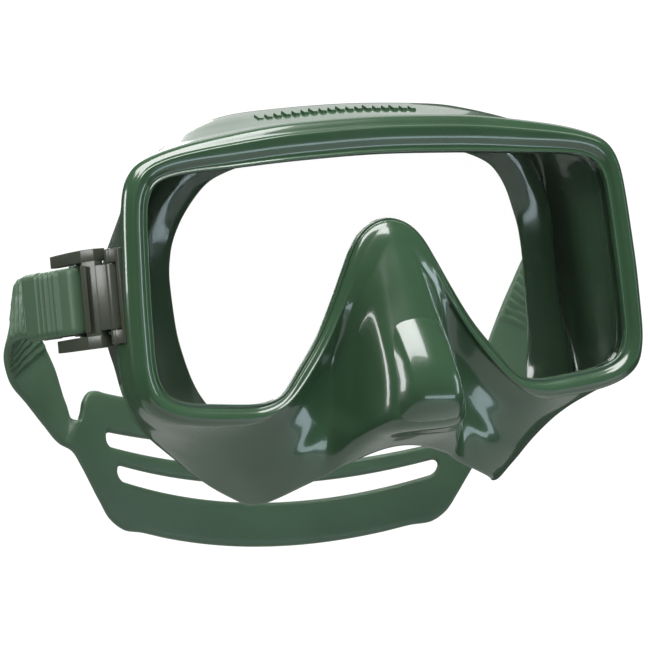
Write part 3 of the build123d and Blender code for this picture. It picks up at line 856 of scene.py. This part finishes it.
def make_anchor(name, word, side):
    """Hinge lugs above and below the knuckle, on a flange let into the rim's side."""
    x, y = HINGE
    flange = [(83.4, -40.8), (85.4, -40.8), (85.4, -38.7), (83.4, -38.7)]
    bridge = [(83.4, -39.6), (85.4, -39.6), (x + 2.0, y - 0.9), (x - 2.0, y - 0.9)]
    outlines = [(flange, -LUG_TOP, LUG_TOP)]
    for low, high in ((-LUG_TOP, -LUG_INNER), (LUG_INNER, LUG_TOP)):
        outlines += [(bridge, low, high), (ring_outline(HINGE, KNUCKLE_R), low, high)]
    piece = prisms(name, outlines, side, PLASTIC, ANCHOR_BEVEL)
    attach(piece, "mask")
    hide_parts(f"buckle_anchor_{word}")
    return piece


def make_grip_ribs(name):
    """A row of low plain bars across the brow of the skirt, for the fingers."""
    shape_points, faces = [], []
    for k in range(GRIP_COUNT):
        middle = GRIP_START + k * GRIP_PITCH
        length = GRIP_SHORT if k % 3 else GRIP_LONG
        drop = GRIP_BOW * middle**2
        profile = ((0, GRIP_FOOT), (0.25, 0.75), (length - 0.25, 0.85), (length, GRIP_FOOT))
        base = len(shape_points)
        for x in (-GRIP_HALF, GRIP_HALF):
            for back, rise in profile:
                draft = 1 if rise < 0 else GRIP_DRAFT
                shape_points.append((middle + x * draft, GRIP_Y + back,
                                     GRIP_Z + rise + back * GRIP_LEAN - drop))
        faces += [(base + a, base + b, base + c, base + d) for a, b, c, d in
                  ((0, 1, 2, 3), (7, 6, 5, 4), (0, 4, 5, 1), (1, 5, 6, 2), (2, 6, 7, 3),
                   (3, 7, 4, 0))]
    piece = mesh_piece(name, shape_points, faces, SKIRT, smooth=False)
    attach(piece, "mask")
    return piece


field = skirt_fields()
make_skirt(field)
make_lens(field)
make_strap_half("strap_half_left", -1)
make_strap_half("strap_half_right", 1)
for word, side in (("left", -1), ("right", 1)):
    make_strap_tail(f"strap_tail_{word}", word, side)
    make_buckle_frame(f"buckle_body_{word}", word, side)
    make_anchor(f"hinge_anchor_{word}", word, side)
make_grip_ribs("brow_grip_ribs")

# The CAD nodes that stay visible: rollers and pawls are plastic, pins and springs steel.
for name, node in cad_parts.items():
    plastics = {"strap_roller": ROLLER, "release_pawl": PAWL}
    chosen = next((m for key, m in plastics.items() if name.startswith(key)), STEEL)
    if not node.hide_render:
        node.data.materials.clear()
        node.data.materials.append(chosen)


# ---------------------------------------------------------------- stage, light, camera

ROOM = (0.045, 0.05, 0.045)
BACKDROP = (1.08, 1.08, 1.08)
CAMERA_TURN = (-29.3, -1.5, 5.4)                          # azimuth, elevation, roll; degrees
CAMERA_TARGET = (-0.01297, -0.02468, -0.0123)
CAMERA_DISTANCE = 1.1
CAMERA_LENS = 210.2
FLOOR_RADIUS = 0.9
FLOOR_HEIGHT = -0.55
FLOOR_POINTS = 96


def soft_box(name, place, size, power, target=(0, 0, 0), colour=WHITE):
    """A rectangular area light that faces its target."""
    data = bpy.data.lights.new(name, "AREA")
    data.shape = "RECTANGLE"
    data.size, data.size_y = size
    data.energy = power
    data.color = colour
    lamp = bpy.data.objects.new(name, data)
    bpy.context.scene.collection.objects.link(lamp)
    lamp.location = place
    aim = Vector(target) - Vector(place)
    lamp.rotation_euler = aim.to_track_quat("-Z", "Y").to_euler()


def combined(nodes, links, operation, first, second):
    """A math node on an output and either another output or a number, as an output."""
    step = nodes.new("ShaderNodeMath")
    step.operation = operation
    links.new(first, step.inputs[0])
    if isinstance(second, float):
        step.inputs[1].default_value = second
    else:
        links.new(second, step.inputs[1])
    return step.outputs["Value"]


def make_world():
    """White to the camera and straight through the glass, a dim room to the rest."""
    world = bpy.data.worlds.new("studio")
    bpy.context.scene.world = world
    world.use_nodes = True
    nodes, links = world.node_tree.nodes, world.node_tree.links
    back = nodes["Background"]
    path = nodes.new("ShaderNodeLightPath")
    bounces = combined(nodes, links, "ADD", path.outputs["Glossy Depth"],
                       path.outputs["Diffuse Depth"])
    direct = combined(nodes, links, "LESS_THAN", bounces, 0.5)
    through_glass = combined(nodes, links, "MULTIPLY", path.outputs["Is Transmission Ray"],
                             direct)
    seen = combined(nodes, links, "MAXIMUM", path.outputs["Is Camera Ray"], through_glass)
    mix = nodes.new("ShaderNodeMix")
    mix.data_type = "RGBA"
    mix.inputs["A"].default_value = (*ROOM, 1)
    mix.inputs["B"].default_value = (*BACKDROP, 1)
    links.new(seen, mix.inputs["Factor"])
    links.new(mix.outputs["Result"], back.inputs["Color"])


def make_floor():
    """A pale round floor well below the mask."""
    angles = [2 * math.pi * i / FLOOR_POINTS for i in range(FLOOR_POINTS)]
    points = [(FLOOR_RADIUS * math.cos(a), FLOOR_RADIUS * math.sin(a), FLOOR_HEIGHT)
              for a in angles]
    mesh = bpy.data.meshes.new("floor")
    mesh.from_pydata(points, [], [list(range(FLOOR_POINTS))])
    floor = bpy.data.objects.new("floor", mesh)
    bpy.context.scene.collection.objects.link(floor)
    material, *_, shader = new_material("floor_paint")
    shader.inputs["Base Color"].default_value = (0.6, 0.6, 0.6, 1)
    shader.inputs["Roughness"].default_value = 0.8
    mesh.materials.append(material)


def make_camera():
    """The camera looks from the front, turned to the wearer's right and rolled."""
    azimuth, elevation, roll = (math.radians(a) for a in CAMERA_TURN)
    back = Vector((math.sin(azimuth) * math.cos(elevation),
                   -math.cos(azimuth) * math.cos(elevation), math.sin(elevation)))
    level = Vector((math.cos(azimuth), math.sin(azimuth), 0))
    rise = back.cross(level)
    right = level * math.cos(roll) - rise * math.sin(roll)
    up = level * math.sin(roll) + rise * math.cos(roll)
    data = bpy.data.cameras.new("camera")
    data.lens = CAMERA_LENS
    data.sensor_width = 36
    camera = bpy.data.objects.new("camera", data)
    bpy.context.scene.collection.objects.link(camera)
    spin = Matrix((right, up, back)).transposed().to_4x4()
    place = Vector(CAMERA_TARGET) + back * CAMERA_DISTANCE
    camera.matrix_world = Matrix.Translation(place) @ spin
    bpy.context.scene.camera = camera


soft_box("back_box", place=(0.5, 0.5, 0.85), size=(0.9, 0.8), power=2.6)
soft_box("key_box", place=(-0.05, -0.65, 1.15), size=(1.3, 0.7), power=27,
         target=(0, 0, -0.02))
soft_box("valley_box", place=(0.5, -0.85, -0.45), size=(0.9, 0.14), power=1.6,
         target=(0, 0, -0.02), colour=(0.75, 0.92, 1))
soft_box("buckle_box", place=(-1.0, 0.15, 0.3), size=(0.4, 0.4), power=5)
soft_box("rear_box", place=(0.1, 1.2, 0.5), size=(0.8, 0.5), power=4)
soft_box("right_box", place=(0.95, -0.45, 0.0), size=(0.15, 0.5), power=1.2,
         colour=(0.8, 0.92, 1))
make_world()
make_floor()
make_camera()
bpy.context.scene.view_settings.view_transform = "Standard"
